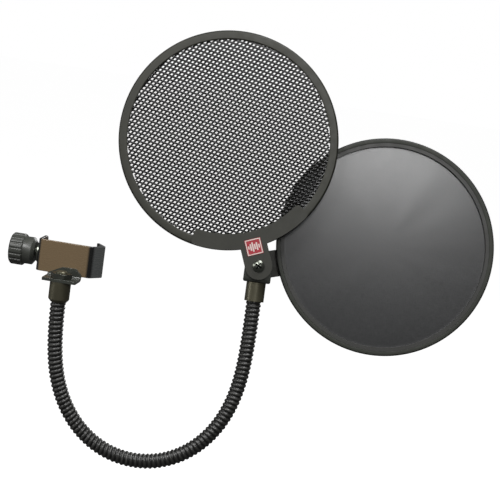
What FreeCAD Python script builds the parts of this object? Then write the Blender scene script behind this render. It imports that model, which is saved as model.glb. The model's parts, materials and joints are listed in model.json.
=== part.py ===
"""Pop filter: two hinged round screens on a gooseneck with a screw clamp for a microphone stand.

Frame: the origin is the axis of the smallest stand tube in the clamp, at the height of the
clamp screw. +Z runs up along the stand, +X along the screw from the knob to the V-jaw, and
+Y from the plate's outer face towards the clamp's open side. Millimetres.
"""
import FreeCAD, Part
import math
import os

import Sketcher
from FreeCAD import Placement, Rotation, Vector

X, Y, Z = Vector(1, 0, 0), Vector(0, 1, 0), Vector(0, 0, 1)
PLANE_ROLE = {"XY": "XY_Plane", "XZ": "XZ_Plane", "YZ": "YZ_Plane"}

# Driving dimensions, in mm and degrees. Each one is a cell of the sheet.
DIMENSIONS = {
    # clamp bracket: a bent strip with a flat flange, a plate and a V-jaw
    "stand_diameter": 16.0,
    "strip_thickness": 2.0,
    "plate_width": 38.4,
    "plate_height": 22.0,
    "flange_depth": 20.0,
    "jaw_reach": 7.3,
    "bend_radius": 1.0,
    # clamp screw, its nut, knob and pressure pad
    "screw_diameter": 6.0,
    "weld_nut_diameter": 14.1,
    "weld_nut_height": 2.0,
    "weld_nut_spigot": 9.0,
    "knob_diameter": 22.0,
    "knob_grip_length": 9.3,
    "knob_collar_diameter": 19.0,
    "knob_collar_length": 6.0,
    "knob_nose_diameter": 14.0,
    "knob_nose_length": 1.8,
    "knob_gap": 1.3,
    "knob_chamfer": 1.0,
    "knob_step": 0.6,
    "flute_count": 18,
    "flute_radius": 1.0,
    "flute_set_out": 0.35,
    "screw_head_diameter": 10.0,
    "screw_head_height": 4.0,
    "screw_head_cover": 2.5,
    "screw_tip_chamfer": 0.5,
    "pad_diameter": 14.0,
    "pad_thickness": 4.5,
    "pad_socket_depth": 3.0,
    "pad_taper_length": 1.2,
    "pad_taper_depth": 2.0,
    # ear bracket that carries the gooseneck
    "ear_width": 23.6,
    "ear_depth": 16.6,
    "ear_centre": 21.3,
    "stud_offset": 9.4,
    "ear_leg_height": 5.3,
    "ear_leg_slant": 10.0,
    "ear_leg_corner": 3.8,
    "ear_drop": 0.8,
    "ear_corner": 0.8,
    "stud_diameter": 8.0,
    "stud_nut_flats": 13.0,
    "stud_nut_height": 3.6,
    "stud_tip": 1.2,
    "stud_chamfer": 0.6,
    "stud_hole_clearance": 0.15,
    # gooseneck and its two ferrules
    "lower_ferrule_diameter": 14.4,
    "lower_ferrule_length": 14.4,
    "upper_ferrule_diameter": 13.5,
    "upper_ferrule_length": 13.2,
    "ferrule_taper": 2.0,
    "ferrule_mouth": 11.2,
    "neck_diameter": 10.2,
    "neck_bore": 5.6,
    "neck_plug": 8.0,
    "plug_gap": 0.5,
    "ball_diameter": 9.8,
    "first_link_length": 25.7,
    "link_length": 24.2,
    "last_link_length": 26.9,
    "neck_yaw": 8.0,
    "neck_twist": 11.0,
    # yoke at the top of the gooseneck
    "yoke_width": 19.0,
    "yoke_gap": 12.0,
    "yoke_drop": 11.5,
    "yoke_corner": 1.2,
    "yoke_stud_diameter": 6.0,
    "yoke_nut_flats": 10.0,
    "yoke_nut_height": 4.5,
    "pivot_diameter": 5.0,
    "pivot_head_diameter": 8.3,
    "pivot_head_height": 2.7,
    "pivot_crown_radius": 5.6,
    "pivot_tip": 1.0,
    "cross_length": 5.0,
    "cross_width": 1.1,
    "cross_depth": 1.5,
    "pivot_nut_flats": 8.0,
    "pivot_nut_height": 4.0,
    "sleeve_diameter": 7.0,
    "washer_diameter": 14.0,
    "washer_thickness": 0.6,
    # screens: frame, retaining ring, sheet and arm
    "screen_offset": 89.2,
    "screen_diameter": 152.0,
    "frame_depth": 5.0,
    "frame_wall": 3.2,
    "frame_lip": 6.0,
    "lip_thickness": 1.6,
    "mesh_thickness": 0.8,
    "fabric_thickness": 0.8,
    "arm_thickness": 2.45,
    "arm_band_width": 11.0,
    "arm_half_angle": 34.0,
    "arm_rim_inset": 0.4,
    "band_tip_radius": 3.0,
    "tab_overlap": 3.0,
    "tab_width": 18.8,
    "peg_diameter": 1.8,
    "peg_length": 2.4,
    "peg_inset": 1.92,
    "badge_size": 11.3,
    "badge_offset": 13.7,
    "badge_recess": 0.8,
    "badge_thickness": 0.7,
    "rim_radius": 0.8,
    "retaining_ring_set_back": 0.2,
    "front_swing": -21.0,
    "rear_swing": 74.0,
    # clearances
    "fit_clearance": 0.05,
    "running_clearance": 0.06,
    "joint_clearance": 0.3,
}
# How far each link of the gooseneck turns at rest, in degrees, from the clamp to the yoke.
LINK_TURNS = (4, 10, 16, 20, 23, 24, 24, 22, 18, 13, 5, 1)
TWISTED_JOINTS = (4, 5, 6, 7, 8)  # the links after which the plane of the bend rolls
PEG_ANGLES = (-28, -14, 0, 14, 28)
STUD_NUT_ANGLE, YOKE_NUT_ANGLE, CROSS_ANGLE = -1, 30, 30
SPARE = 1.0  # how far a cutting tool runs past the face that it cuts
NEAR = 0.02  # how closely an edge has to match the place that it is picked by


class Size:
    """A length or angle with the sheet expression that gives it, so the two stay in step."""

    def __init__(self, value, text):
        self.value, self.text = float(value), text

    def __float__(self):
        return self.value

    def __add__(self, other):
        return Size(self.value + float(other), f"({self.text} + {written(other)})")

    def __sub__(self, other):
        return Size(self.value - float(other), f"({self.text} - {written(other)})")

    def __mul__(self, other):
        return Size(self.value * float(other), f"({self.text} * {written(other)})")

    def __truediv__(self, other):
        return Size(self.value / float(other), f"({self.text} / {written(other)})")

    def __neg__(self):
        return Size(-self.value, f"(-1 * {self.text})")


def written(value):
    """A size's expression, or a plain number as text."""
    return value.text if isinstance(value, Size) else repr(float(value))


def make_sheet(doc):
    """Put every driving dimension into the sheet, and return them as sizes."""
    sheet = doc.addObject("Spreadsheet::Sheet", "dims")
    values = dict(DIMENSIONS)
    values.update({f"turn_of_link_{i:02d}": turn for i, turn in enumerate(LINK_TURNS, 1)})
    sizes = {}
    for row, (alias, value) in enumerate(values.items(), 1):
        sheet.set(f"A{row}", alias)
        sheet.set(f"B{row}", repr(float(value)))
        sheet.setAlias(f"B{row}", alias)
        sizes[alias] = Size(value, f"dims.{alias}")
    doc.recompute()
    return sizes


doc = FreeCAD.newDocument("pop_filter")
D = make_sheet(doc)
parts = {}  # node name: the document object that is exported under it


# ---------------------------------------------------------------- building blocks


def bind(obj, **sizes):
    """Bind properties of an object to the sheet."""
    for prop, size in sizes.items():
        if isinstance(size, Size):
            obj.setExpression(prop, size.text)
        else:
            setattr(obj, prop, size)
    return obj


def point(x, y, z):
    return Vector(float(x), float(y), float(z))


def placed(x=0, y=0, z=0, axis=Z, angle=0):
    return Placement(point(x, y, z), Rotation(axis, float(angle)))


ALONG_X = Rotation(Y, 90)  # turns a primitive's own Z to +X
ALONG_Y = Rotation(X, -90)  # and to +Y


def primitive(kind, name, place, **sizes):
    obj = bind(doc.addObject(kind, name), **sizes)
    obj.Placement = place
    return obj


def cylinder(name, radius, height, place=None, **more):
    return primitive("Part::Cylinder", name, place or Placement(), Radius=radius, Height=height, **more)


def block(name, length, width, height, corner):
    """A box with its lowest corner at a point."""
    place = Placement(corner, Rotation())
    return primitive("Part::Box", name, place, Length=length, Width=width, Height=height)


def sphere(name, radius, centre):
    return primitive("Part::Sphere", name, Placement(centre, Rotation()), Radius=radius)


def fuse(name, *shapes):
    obj = doc.addObject("Part::MultiFuse", name)
    obj.Shapes = list(shapes)
    return obj


def common(name, *shapes):
    obj = doc.addObject("Part::MultiCommon", name)
    obj.Shapes = list(shapes)
    return obj


def cut(name, base, *tools):
    obj = doc.addObject("Part::Cut", name)
    obj.Base = base
    obj.Tool = tools[0] if len(tools) == 1 else fuse(f"{name}_tools", *tools)
    return obj


def keep(node, obj, place=None):
    """Make an object the sub-part of a node."""
    obj.Label = node
    if place is not None:
        obj.Placement = place
    parts[node] = obj
    return obj


def new_body(node, place=None):
    return keep(node, doc.addObject("PartDesign::Body", node), place)


def sketch_on(body, plane, name):
    sketch = body.newObject("Sketcher::SketchObject", name)
    origin_plane = next(f for f in body.Origin.OriginFeatures if f.Role == PLANE_ROLE[plane])
    sketch.AttachmentSupport = [(origin_plane, "")]
    sketch.MapMode = "FlatFace"
    return sketch


def fix_point(sketch, geometry, place, x, y):
    """Dimension one point of a sketch from the origin."""
    for kind, axis, size in (("DistanceX", -2, x), ("DistanceY", -1, y)):
        if float(size) == 0:
            sketch.addConstraint(Sketcher.Constraint("PointOnObject", geometry, place, axis))
            continue
        index = sketch.addConstraint(Sketcher.Constraint(kind, -1, 1, geometry, place, float(size)))
        if isinstance(size, Size):
            sketch.setExpression(f"Constraints[{index}]", size.text)


def polygon(sketch, corners):
    """A closed outline of straight lines, with every corner dimensioned."""
    at = [point(x, y, 0) for x, y in corners]
    ends = at[1:] + at[:1]
    lines = [sketch.addGeometry(Part.LineSegment(*both), False) for both in zip(at, ends)]
    for line, following in zip(lines, lines[1:] + lines[:1]):
        sketch.addConstraint(Sketcher.Constraint("Coincident", line, 2, following, 1))
    for line, (x, y) in zip(lines, corners):
        fix_point(sketch, line, 1, x, y)


def circle(sketch, x, y, radius):
    index = sketch.addGeometry(Part.Circle(point(x, y, 0), Z, float(radius)), False)
    fix_point(sketch, index, 3, x, y)
    size = sketch.addConstraint(Sketcher.Constraint("Radius", index, float(radius)))
    if isinstance(radius, Size):
        sketch.setExpression(f"Constraints[{size}]", radius.text)


def pad(body, sketch, length):
    """Extrude a sketch to both sides of its plane."""
    feature = body.newObject("PartDesign::Pad", f"{sketch.Name}_pad")
    feature.Profile = sketch
    bind(feature, Length=length)
    feature.Midplane = True
    doc.recompute()


def pocket(body, sketch, length, reverse=False):
    """Cut a sketch to both sides of its plane, or backwards only, and make sure that it cuts."""
    before = body.Shape.Volume
    feature = body.newObject("PartDesign::Pocket", f"{sketch.Name}_pocket")
    feature.Profile = sketch
    bind(feature, Length=length)
    feature.Midplane, feature.Reversed = not reverse, reverse
    doc.recompute()
    if not body.Shape.Volume < before - 0.01:
        raise ValueError(f"{feature.Name} removes nothing")
    return feature


def revolve(body, sketch, kind="Revolution"):
    """Turn a sketch once around its own horizontal axis, to add (Revolution) or cut (Groove)."""
    feature = body.newObject(f"PartDesign::{kind}", f"{sketch.Name}_turn")
    feature.Profile = sketch
    feature.ReferenceAxis = (sketch, ["H_Axis"])
    feature.Angle = 360
    body.Tip = feature
    doc.recompute()


def round_edges(body, radius, chosen):
    """Fillet the edges of a body's last feature that a test picks."""
    tip = body.Tip
    names = [f"Edge{i}" for i, edge in enumerate(tip.Shape.Edges, 1) if chosen(edge)]
    feature = body.newObject("PartDesign::Fillet", f"{body.Name}_fillet")
    feature.Base = (tip, names)
    bind(feature, Radius=radius)
    doc.recompute()


def turned(node, corners, place):
    """A body turned from an outline of (along, radius) corners about its local X axis."""
    body = new_body(node, place)
    outline = sketch_on(body, "XY", f"{node}_outline")
    polygon(outline, corners)
    revolve(body, outline)
    return body


def hex_nut(node, flats, height, bore, place):
    """A hexagon nut along local Z, with both faces chamfered."""
    half = flats / 2
    corner = half * (2 / math.sqrt(3))
    wide = half + height * math.sqrt(3)
    blank = primitive("Part::Prism", f"{node}_blank", Placement(), Polygon=6)
    bind(blank, Circumradius=corner, Height=height)
    low = primitive("Part::Cone", f"{node}_low", Placement(), Radius1=half, Radius2=wide)
    top = primitive("Part::Cone", f"{node}_top", Placement(), Radius1=wide, Radius2=half)
    for cone in (low, top):
        bind(cone, Height=height)
    hole = cylinder(f"{node}_hole", bore, height + 2 * SPARE, placed(z=-SPARE))
    keep(node, cut(f"{node}_cut", common(f"{node}_chamfered", blank, low, top), hole), place)


def washer(node, outer, inner, thickness, place):
    ring = cylinder(f"{node}_blank", outer, thickness)
    hole = cylinder(f"{node}_hole", inner, thickness + 2 * SPARE, placed(z=-SPARE))
    keep(node, cut(f"{node}_cut", ring, hole), place)


# ---------------------------------------------------------------- places worked out from the sizes

strip = D["strip_thickness"]
jaw_depth = D["flange_depth"] / 2
jaw_slope = math.hypot(float(D["jaw_reach"]), float(jaw_depth)) / float(jaw_depth)
stand_radius = D["stand_diameter"] / 2
# The tube touches the plate and both legs of the jaw. The bracket's corner is its origin's offset.
tube_x = D["plate_width"] + D["jaw_reach"] - (strip + stand_radius) * jaw_slope
tube_y = strip + stand_radius
BRACKET = placed(-tube_x, -tube_y)

ear_top = -(D["plate_height"] / 2 + D["ear_drop"])
ear_bottom = ear_top - strip
ferrule_x = D["ear_centre"] - tube_x
ferrule_y = -(tube_y + D["stud_offset"])


def neck_places():
    """The place of each end of the links: local Z forwards, local -X to the bend's inside."""
    yaw = math.radians(float(D["neck_yaw"]))
    inside = Vector(math.cos(yaw), math.sin(yaw), 0)
    forwards = -Z
    start = point(ferrule_x, ferrule_y, ear_bottom - D["lower_ferrule_length"])
    places = [Placement(start, Rotation(-inside, inside.cross(forwards), forwards))]
    for i, turn in enumerate(LINK_TURNS, 1):
        radius = float(link_radius(i))
        to_centre = placed(-radius)
        bend = to_centre.multiply(placed(axis=Y, angle=-turn)).multiply(placed(radius))
        end = places[-1].multiply(bend)
        if i in TWISTED_JOINTS:
            end = end.multiply(placed(angle=-float(D["neck_twist"]) / len(TWISTED_JOINTS)))
        places.append(end)
    return places


def link_radius(i):
    length = D[{1: "first_link_length", len(LINK_TURNS): "last_link_length"}.get(i, "link_length")]
    return length * (180 / math.pi) / D[f"turn_of_link_{i:02d}"]


peg_ring = D["screen_diameter"] / 2 - D["peg_inset"]

NECK = neck_places()
# The head's frame: origin on the pivot, midway between the yoke's legs, +Z up the yoke.
HEAD = NECK[-1].multiply(placed(z=D["upper_ferrule_length"] + D["yoke_drop"]))


# ---------------------------------------------------------------- clamp


def clamp_bracket():
    """A strip bent to a flange, a plate and a V-jaw, with a hole in the flange for the nut."""
    body = new_body("clamp_bracket", BRACKET)
    outline = sketch_on(body, "XY", "bracket_outline")
    width, reach, depth = D["plate_width"], D["jaw_reach"], D["flange_depth"]
    in_leg = math.hypot(float(reach), float(jaw_depth))
    step_x = strip * (float(jaw_depth) / in_leg)
    step_y = strip * (float(reach) / in_leg)
    corner_in = strip * ((in_leg - float(reach)) / float(jaw_depth))
    polygon(
        outline,
        [
            (0, depth),
            (0, 0),
            (width, 0),
            (width + reach, jaw_depth),
            (width, depth),
            (width - step_x, depth - step_y),
            (width + reach - strip * jaw_slope, jaw_depth),
            (width - corner_in, strip),
            (strip, strip),
            (strip, depth),
        ],
    )
    pad(body, outline, D["plate_height"])
    hole = sketch_on(body, "YZ", "bracket_nut_hole")
    circle(hole, tube_y, 0, D["weld_nut_spigot"] / 2 + D["fit_clearance"])
    pocket(body, hole, strip * 2)
    outside = [(0, 0), (width, 0), (width + reach, jaw_depth)]
    inside = [
        (strip, strip),
        (width - corner_in, strip),
        (width + reach - strip * jaw_slope, jaw_depth),
    ]
    for radius, places in ((D["bend_radius"] + strip, outside), (D["bend_radius"], inside)):
        for x, y in places:
            round_edges(body, radius, at_upright(x, y))
    round_edges(body, D["bend_radius"] * 3, is_flange_corner)


def along(edge, axis):
    """Whether an edge is a straight line along an axis."""
    return isinstance(edge.Curve, Part.Line) and abs(edge.Curve.Direction.dot(axis)) > 0.99


def at_upright(x, y):
    """A test for the edge along Z through a place in the plan."""
    x, y = float(x), float(y)
    return lambda edge: (
        along(edge, Z) and all(math.hypot(v.X - x, v.Y - y) < NEAR for v in edge.Vertexes)
    )


def is_flange_corner(edge):
    """The short edges across the strip's thickness, at the open end of the flange."""
    centre = edge.CenterOfMass
    at_end = abs(centre.y - float(D["flange_depth"])) < NEAR
    return along(edge, X) and at_end and centre.x < float(strip)


def weld_nut():
    """A round nut on the flange's outer face, with a spigot through the flange."""
    bore = D["screw_diameter"] / 2 + D["running_clearance"]
    height = D["weld_nut_height"]
    corners = [
        (0, D["weld_nut_diameter"] / 2),
        (height, D["weld_nut_diameter"] / 2),
        (height, D["weld_nut_spigot"] / 2),
        (height + strip, D["weld_nut_spigot"] / 2),
        (height + strip, bore),
        (0, bore),
    ]
    body = turned("weld_nut", corners, placed(-tube_x - height))
    rim = float(D["weld_nut_diameter"]) / 2
    round_edges(body, D["bend_radius"], lambda e: is_circle(e, rim) and abs(e.CenterOfMass.x) < NEAR)


def pressure_pad():
    """The swivel pad that presses on the tube, with a socket for the screw's end."""
    back = D["pad_thickness"]
    socket = D["screw_diameter"] / 2 + D["running_clearance"]
    corners = [
        (-back, socket),
        (-back, D["pad_diameter"] / 2 - D["pad_taper_depth"]),
        (-back + D["pad_taper_length"], D["pad_diameter"] / 2),
        (0, D["pad_diameter"] / 2),
        (0, 0),
        (-back + D["pad_socket_depth"], 0),
        (-back + D["pad_socket_depth"], socket),
    ]
    turned("pressure_pad", corners, placed(-stand_radius))


def screw_ends():
    """Where the clamp screw starts in the knob and ends in the pad, from the tube's axis."""
    knob_face = -(tube_x + D["weld_nut_height"] + D["knob_gap"])
    outer = knob_face - D["knob_nose_length"] - D["knob_collar_length"] - D["knob_grip_length"]
    tip = -(stand_radius + D["pad_thickness"] - D["pad_socket_depth"] + D["fit_clearance"] * 2)
    return outer, tip


def clamp_screw():
    """The screw, with a plain head that the knob is moulded around."""
    outer, tip = screw_ends()
    start = outer + D["screw_head_cover"]
    radius, head = D["screw_diameter"] / 2, D["screw_head_diameter"] / 2
    neck, chamfer = D["screw_head_height"], D["screw_tip_chamfer"]
    length = tip - start
    corners = [
        (0, 0),
        (0, head),
        (neck, head),
        (neck, radius),
        (length - chamfer, radius),
        (length, radius - chamfer),
        (length, 0),
    ]
    turned("clamp_screw", corners, placed(start))


def knob():
    """The fluted knob, with a smooth collar and a tapered nose, moulded around the screw's head."""
    outer, _ = screw_ends()
    grip, collar = D["knob_grip_length"], D["knob_collar_length"]
    shoulder = grip + collar
    end = shoulder + D["knob_nose_length"]
    radius, collar_radius = D["knob_diameter"] / 2, D["knob_collar_diameter"] / 2
    chamfer, step = D["knob_chamfer"], D["knob_step"]
    corners = [
        (0, 0),
        (0, radius - chamfer),
        (chamfer, radius),
        (grip - step, radius),
        (grip, radius - step),
        (grip, collar_radius),
        (shoulder, collar_radius),
        (end, D["knob_nose_diameter"] / 2),
        (end, 0),
    ]
    body = turned("knob", corners, placed(outer))
    flute = sketch_on(body, "YZ", "knob_flute")
    circle(flute, 0, radius + D["flute_set_out"], D["flute_radius"])
    first = pocket(body, flute, grip * 2)
    pattern = body.newObject("PartDesign::PolarPattern", "knob_flutes")
    pattern.Originals = [first]
    axis = next(f for f in body.Origin.OriginFeatures if f.Role == "X_Axis")
    pattern.Axis = (axis, [""])
    pattern.Angle = 360
    bind(pattern, Occurrences=D["flute_count"])
    body.Tip = pattern
    doc.recompute()
    cavity = sketch_on(body, "XY", "knob_cavity")
    head, radius = D["screw_head_diameter"] / 2, D["screw_diameter"] / 2
    start = D["screw_head_cover"]
    neck, out = start + D["screw_head_height"], end + SPARE
    polygon(cavity, [(start, 0), (start, head), (neck, head), (neck, radius), (out, radius), (out, 0)])
    revolve(body, cavity, "Groove")


def ear_bracket():
    """An L-shaped strip welded to the plate, whose ear carries the gooseneck's stud."""
    body = new_body("ear_bracket", placed(ferrule_x, -tube_y, ear_top))
    profile = sketch_on(body, "YZ", "ear_profile")
    leg, ear = D["ear_leg_height"] + D["ear_drop"], D["ear_depth"]
    polygon(profile, [(0, leg), (-strip, leg), (-strip, 0), (-ear, 0), (-ear, -strip), (0, -strip)])
    pad(body, profile, D["ear_width"])
    hole = sketch_on(body, "XY", "ear_hole")
    circle(hole, 0, -D["stud_offset"], D["stud_diameter"] / 2 + D["stud_hole_clearance"])
    pocket(body, hole, strip * 3)
    round_edges(body, D["bend_radius"] + strip, along_x_at(0, -strip))
    round_edges(body, D["bend_radius"], along_x_at(-strip, 0))
    # The leg's outline slants down to its left, and has a smaller corner at its right.
    corners = sketch_on(body, "XZ", "ear_corners")
    half, bend, corner = D["ear_width"] / 2, D["bend_radius"], D["ear_leg_corner"]
    left = [(-half, leg), (-half, bend), (D["ear_leg_slant"] - half, leg)]
    right = [(half, leg), (half, leg - corner), (half - corner, leg)]
    for outline in (left, right):
        polygon(corners, outline)
    pocket(body, corners, strip * 3)
    low = float(bend) + NEAR
    round_edges(body, D["bend_radius"] * 2, lambda e: along(e, Y) and e.CenterOfMass.z > low)
    front = -float(ear)
    round_edges(body, D["ear_corner"], lambda e: along(e, Z) and e.CenterOfMass.y < front + NEAR)


def along_x_at(y, z):
    """A test for the edges along X through places in the side view, on either side of it."""
    y, z = abs(float(y)), float(z)
    return lambda edge: (
        along(edge, X) and math.hypot(abs(edge.CenterOfMass.y) - y, edge.CenterOfMass.z - z) < NEAR
    )


# ---------------------------------------------------------------- gooseneck


def ferrule(node, diameter, length, stud, stud_length, tapered, place):
    """A ferrule along local X: a stud, a plain barrel and a mouth that the gooseneck plugs into."""
    bore = D["neck_diameter"] / 2 + D["fit_clearance"]
    radius, rod, chamfer = diameter / 2, stud / 2, D["stud_chamfer"]
    floor = length - D["neck_plug"] - D["plug_gap"]
    mouth = [(length, radius)]
    if tapered:
        mouth = [(length - D["ferrule_taper"], radius), (length, D["ferrule_mouth"] / 2)]
    corners = [
        (-stud_length, 0),
        (-stud_length, rod - chamfer),
        (-stud_length + chamfer, rod),
        (0, rod),
        (0, radius),
        *mouth,
        (length, bore),
        (floor, bore),
        (floor, 0),
    ]
    turned(node, corners, place)


def neck_link(i):
    """A hollow link bent to its rest arc, with a ball at its end and a socket for the last ball."""
    node = f"neck_link_{i:02d}"
    radius, turn = link_radius(i), D[f"turn_of_link_{i:02d}"]
    tube = D["neck_diameter"] / 2
    bore = D["neck_bore"] / 2
    plug = D["neck_plug"]
    spare = math.degrees(float(plug) / float(radius))
    start = point(radius, 0, 0)
    around = Rotation(Z, float(turn))
    end = around.multVec(start)
    solids = [bent_rod(f"{node}_tube", radius, tube, turn, 0)]
    tools = [bent_rod(f"{node}_bore", radius, bore, turn, spare)]
    plug_place = None
    if i == 1:
        plug_place = Placement(start, Rotation(X, 90))
    else:
        tools.append(sphere(f"{node}_socket", tube + D["joint_clearance"], start))
    if i == len(LINK_TURNS):
        plug_place = Placement(end, around.multiply(Rotation(X, -90)))
    else:
        solids.append(sphere(f"{node}_ball", D["ball_diameter"] / 2, end))
    if plug_place:
        solids.append(cylinder(f"{node}_plug", tube, plug, plug_place))
        tools.append(cylinder(f"{node}_plug_bore", bore, plug + 2 * SPARE, plug_place))
    shape = cut(f"{node}_cut", fuse(f"{node}_fused", *solids), *tools)
    arc_frame = Placement(-start, Rotation(X, 90))
    keep(node, shape, NECK[i - 1].multiply(arc_frame))


def bent_rod(name, radius, thickness, turn, spare):
    """A rod bent about local Z from +X, with its ends run on by a spare angle."""
    place = Placement(Vector(), Rotation(Z, -spare))
    rod = primitive("Part::Torus", name, place, Radius1=radius, Radius2=thickness)
    return bind(rod, Angle3=turn + 2 * spare)


# ---------------------------------------------------------------- yoke and pivot


def yoke():
    """A U-shaped strip: two round-ended legs for the pivot and a web for the gooseneck's stud."""
    half_gap, drop = D["yoke_gap"] / 2, D["yoke_drop"]
    outer, top = half_gap + strip, D["yoke_width"] / 2
    body = new_body("yoke", HEAD)
    profile = sketch_on(body, "YZ", "yoke_profile")
    polygon(
        profile,
        [
            (-outer, top),
            (-outer, -drop),
            (outer, -drop),
            (outer, top),
            (half_gap, top),
            (half_gap, -drop + strip),
            (-half_gap, -drop + strip),
            (-half_gap, top),
        ],
    )
    pad(body, profile, D["yoke_width"])
    pivot = sketch_on(body, "XZ", "yoke_pivot_hole")
    circle(pivot, 0, 0, D["pivot_diameter"] / 2 + D["fit_clearance"])
    pocket(body, pivot, outer * 4)
    stud = sketch_on(body, "XY", "yoke_stud_hole")
    circle(stud, 0, 0, D["yoke_stud_diameter"] / 2 + D["stud_hole_clearance"])
    pocket(body, stud, drop * 3)
    round_edges(body, D["bend_radius"] + strip, along_x_at(outer, -drop))
    round_edges(body, D["bend_radius"], along_x_at(half_gap, -drop + strip))
    corner = float(top)
    round_edges(body, top - NEAR, lambda e: along(e, Y) and abs(e.CenterOfMass.z - corner) < NEAR)
    # The web's corners are taken off in two flats each.
    corners = sketch_on(body, "XZ", "yoke_corners")
    corner = D["yoke_corner"]
    inset = corner * (1 - math.sqrt(0.5))
    for side in (-1, 1):
        edge = D["yoke_width"] / 2 * side
        outline = [(edge, -drop), (edge, -drop + corner), (edge - inset * side, -drop + inset)]
        polygon(corners, [*outline, (edge - corner * side, -drop)])
    pocket(body, corners, outer * 4)


def pivot_screw():
    """A pan-head screw with a cross recess, from the front arm to the nut behind the rear arm."""
    head, height = D["pivot_head_diameter"] / 2, D["pivot_head_height"]
    shaft = D["pivot_diameter"] / 2
    front, back = pivot_stack()
    length = back + D["pivot_nut_height"] + D["pivot_tip"] - front
    dome = D["pivot_crown_radius"]
    barrel = cylinder("pivot_head_blank", head, height, placed(z=-height))
    crown = sphere("pivot_head_crown", dome, point(0, 0, dome - height))
    shank = cylinder("pivot_shank", shaft, length)
    long, wide, deep = D["cross_length"], D["cross_width"], D["cross_depth"] + SPARE
    cross = [
        block(f"pivot_cross_{n}", x, y, deep, point(-x / 2, -y / 2, -height - SPARE))
        for n, (x, y) in enumerate(((long, wide), (wide, long)))
    ]
    blank = fuse("pivot_screw_blank", common("pivot_head", barrel, crown), shank)
    place = HEAD.multiply(Placement(point(0, front, 0), ALONG_Y)).multiply(placed(angle=CROSS_ANGLE))
    keep("pivot_screw", cut("pivot_screw_cut", blank, *cross), place)


def pivot_stack():
    """Where the screw's head and nut bear, along the head's Y."""
    yoke_face = D["yoke_gap"] / 2 + strip
    reach = yoke_face + D["washer_thickness"] + D["arm_thickness"] + D["fit_clearance"] * 2
    return -reach, reach + D["washer_thickness"]


def pivot_parts():
    """Nut, sleeve and washers on the pivot screw."""
    front, back = pivot_stack()
    bore = D["pivot_diameter"] / 2 + D["fit_clearance"]
    yoke_face = D["yoke_gap"] / 2 + strip
    thin = D["washer_thickness"]

    def on_pivot(y):
        return HEAD.multiply(Placement(point(0, y, 0), ALONG_Y))

    washer("front_friction_washer", D["washer_diameter"] / 2, bore, thin, on_pivot(-yoke_face - thin))
    washer("rear_friction_washer", D["washer_diameter"] / 2, bore, thin, on_pivot(yoke_face))
    washer("pivot_washer", D["washer_diameter"] / 2 - 2, bore, thin, on_pivot(back - thin))
    hex_nut("pivot_nut", D["pivot_nut_flats"], D["pivot_nut_height"], bore, on_pivot(back))
    washer("pivot_sleeve", D["sleeve_diameter"] / 2, bore, D["yoke_gap"], on_pivot(-D["yoke_gap"] / 2))


# ---------------------------------------------------------------- screens


def screen_place(angle, behind):
    """A screen's frame on the pivot: local Z to the middle of the screen, local -Y to its arm's side."""
    turn = HEAD.multiply(placed(axis=Y, angle=angle))
    return turn.multiply(placed(angle=180)) if behind else turn


def arm(node, place, with_badge):
    """A flat arm: a round-ended tab on the pivot and a curved band along the frame's edge."""
    outer = D["screen_diameter"] / 2 - D["arm_rim_inset"]
    inner = outer - D["arm_band_width"]
    offset, thick, half = D["screen_offset"], D["arm_thickness"], D["arm_half_angle"]
    base = arm_face()
    at_ring = Placement(point(0, base, offset), ALONG_Y)
    # ALONG_Y turns a cylinder's own +Y to the screen's -Z, so the band is centred on 90 degrees.
    sector = at_ring.multiply(placed(angle=90 - float(half)))
    whole = cylinder(f"{node}_disc", outer, thick, sector, Angle=half * 2)
    centre = cylinder(f"{node}_centre", inner, thick + 2 * SPARE, at_ring.multiply(placed(z=-SPARE)))
    band = cut(f"{node}_band", whole, centre)
    width = D["tab_width"]
    reach = offset - inner - D["tab_overlap"]
    tab = block(f"{node}_tab", width, thick, reach, point(-width / 2, base, 0))
    end = cylinder(f"{node}_end", width / 2, thick, Placement(point(0, base, 0), ALONG_Y))
    solids = [band, tab, end]
    peg, root = D["peg_diameter"] / 2, thick / 2
    for n, angle in enumerate(PEG_ANGLES):
        around = Rotation(Y, float(angle)).multVec(point(0, 0, -peg_ring))
        foot = Placement(point(around.x, base + root, around.z + float(offset)), ALONG_Y)
        solids.append(cylinder(f"{node}_peg_{n}", peg, D["peg_length"] + root, foot))
    hole = D["pivot_diameter"] / 2 + D["running_clearance"]
    start = Placement(point(0, base - SPARE, 0), ALONG_Y)
    tools = [cylinder(f"{node}_hole", hole, thick + 2 * SPARE, start)]
    if with_badge:
        size = D["badge_size"] + D["fit_clearance"] * 2
        corner = point(-size / 2, base - SPARE, D["badge_offset"] - size / 2)
        tools.append(block(f"{node}_recess", size, D["badge_recess"] + SPARE, size, corner))
    shape = cut(f"{node}_cut", fuse(f"{node}_fused", *solids), *tools)
    doc.recompute()
    rounded = doc.addObject("Part::Fillet", f"{node}_rounded")
    rounded.Base = shape
    tips = [i for i, e in enumerate(shape.Shape.Edges, 1) if is_band_tip(e, float(inner), float(outer))]
    tip_radius = float(D["band_tip_radius"])
    rounded.Edges = [(i, tip_radius, tip_radius) for i in tips]
    keep(node, rounded, place)


def is_band_tip(edge, inner, outer):
    """The four short edges at the corners of the band's two ends."""
    centre = edge.CenterOfMass
    away = math.hypot(centre.x, centre.z - float(D["screen_offset"]))
    at_corner = min(abs(away - inner), abs(away - outer)) < NEAR
    return along(edge, Y) and at_corner and abs(centre.x) > float(D["tab_width"])


def arm_face():
    """The outer face of an arm, along the screen's Y."""
    return -(D["yoke_gap"] / 2 + strip + D["washer_thickness"] + D["fit_clearance"] + D["arm_thickness"])


def badge(place):
    """The square badge plate that sits in the front arm's recess."""
    size, thick = D["badge_size"], D["badge_thickness"]
    inset = D["badge_recess"] - thick
    corner = placed(-size / 2, arm_face() + inset, D["badge_offset"] - size / 2)
    keep("badge", block("badge_plate", size, thick, size, Vector()), place.multiply(corner))


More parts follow.
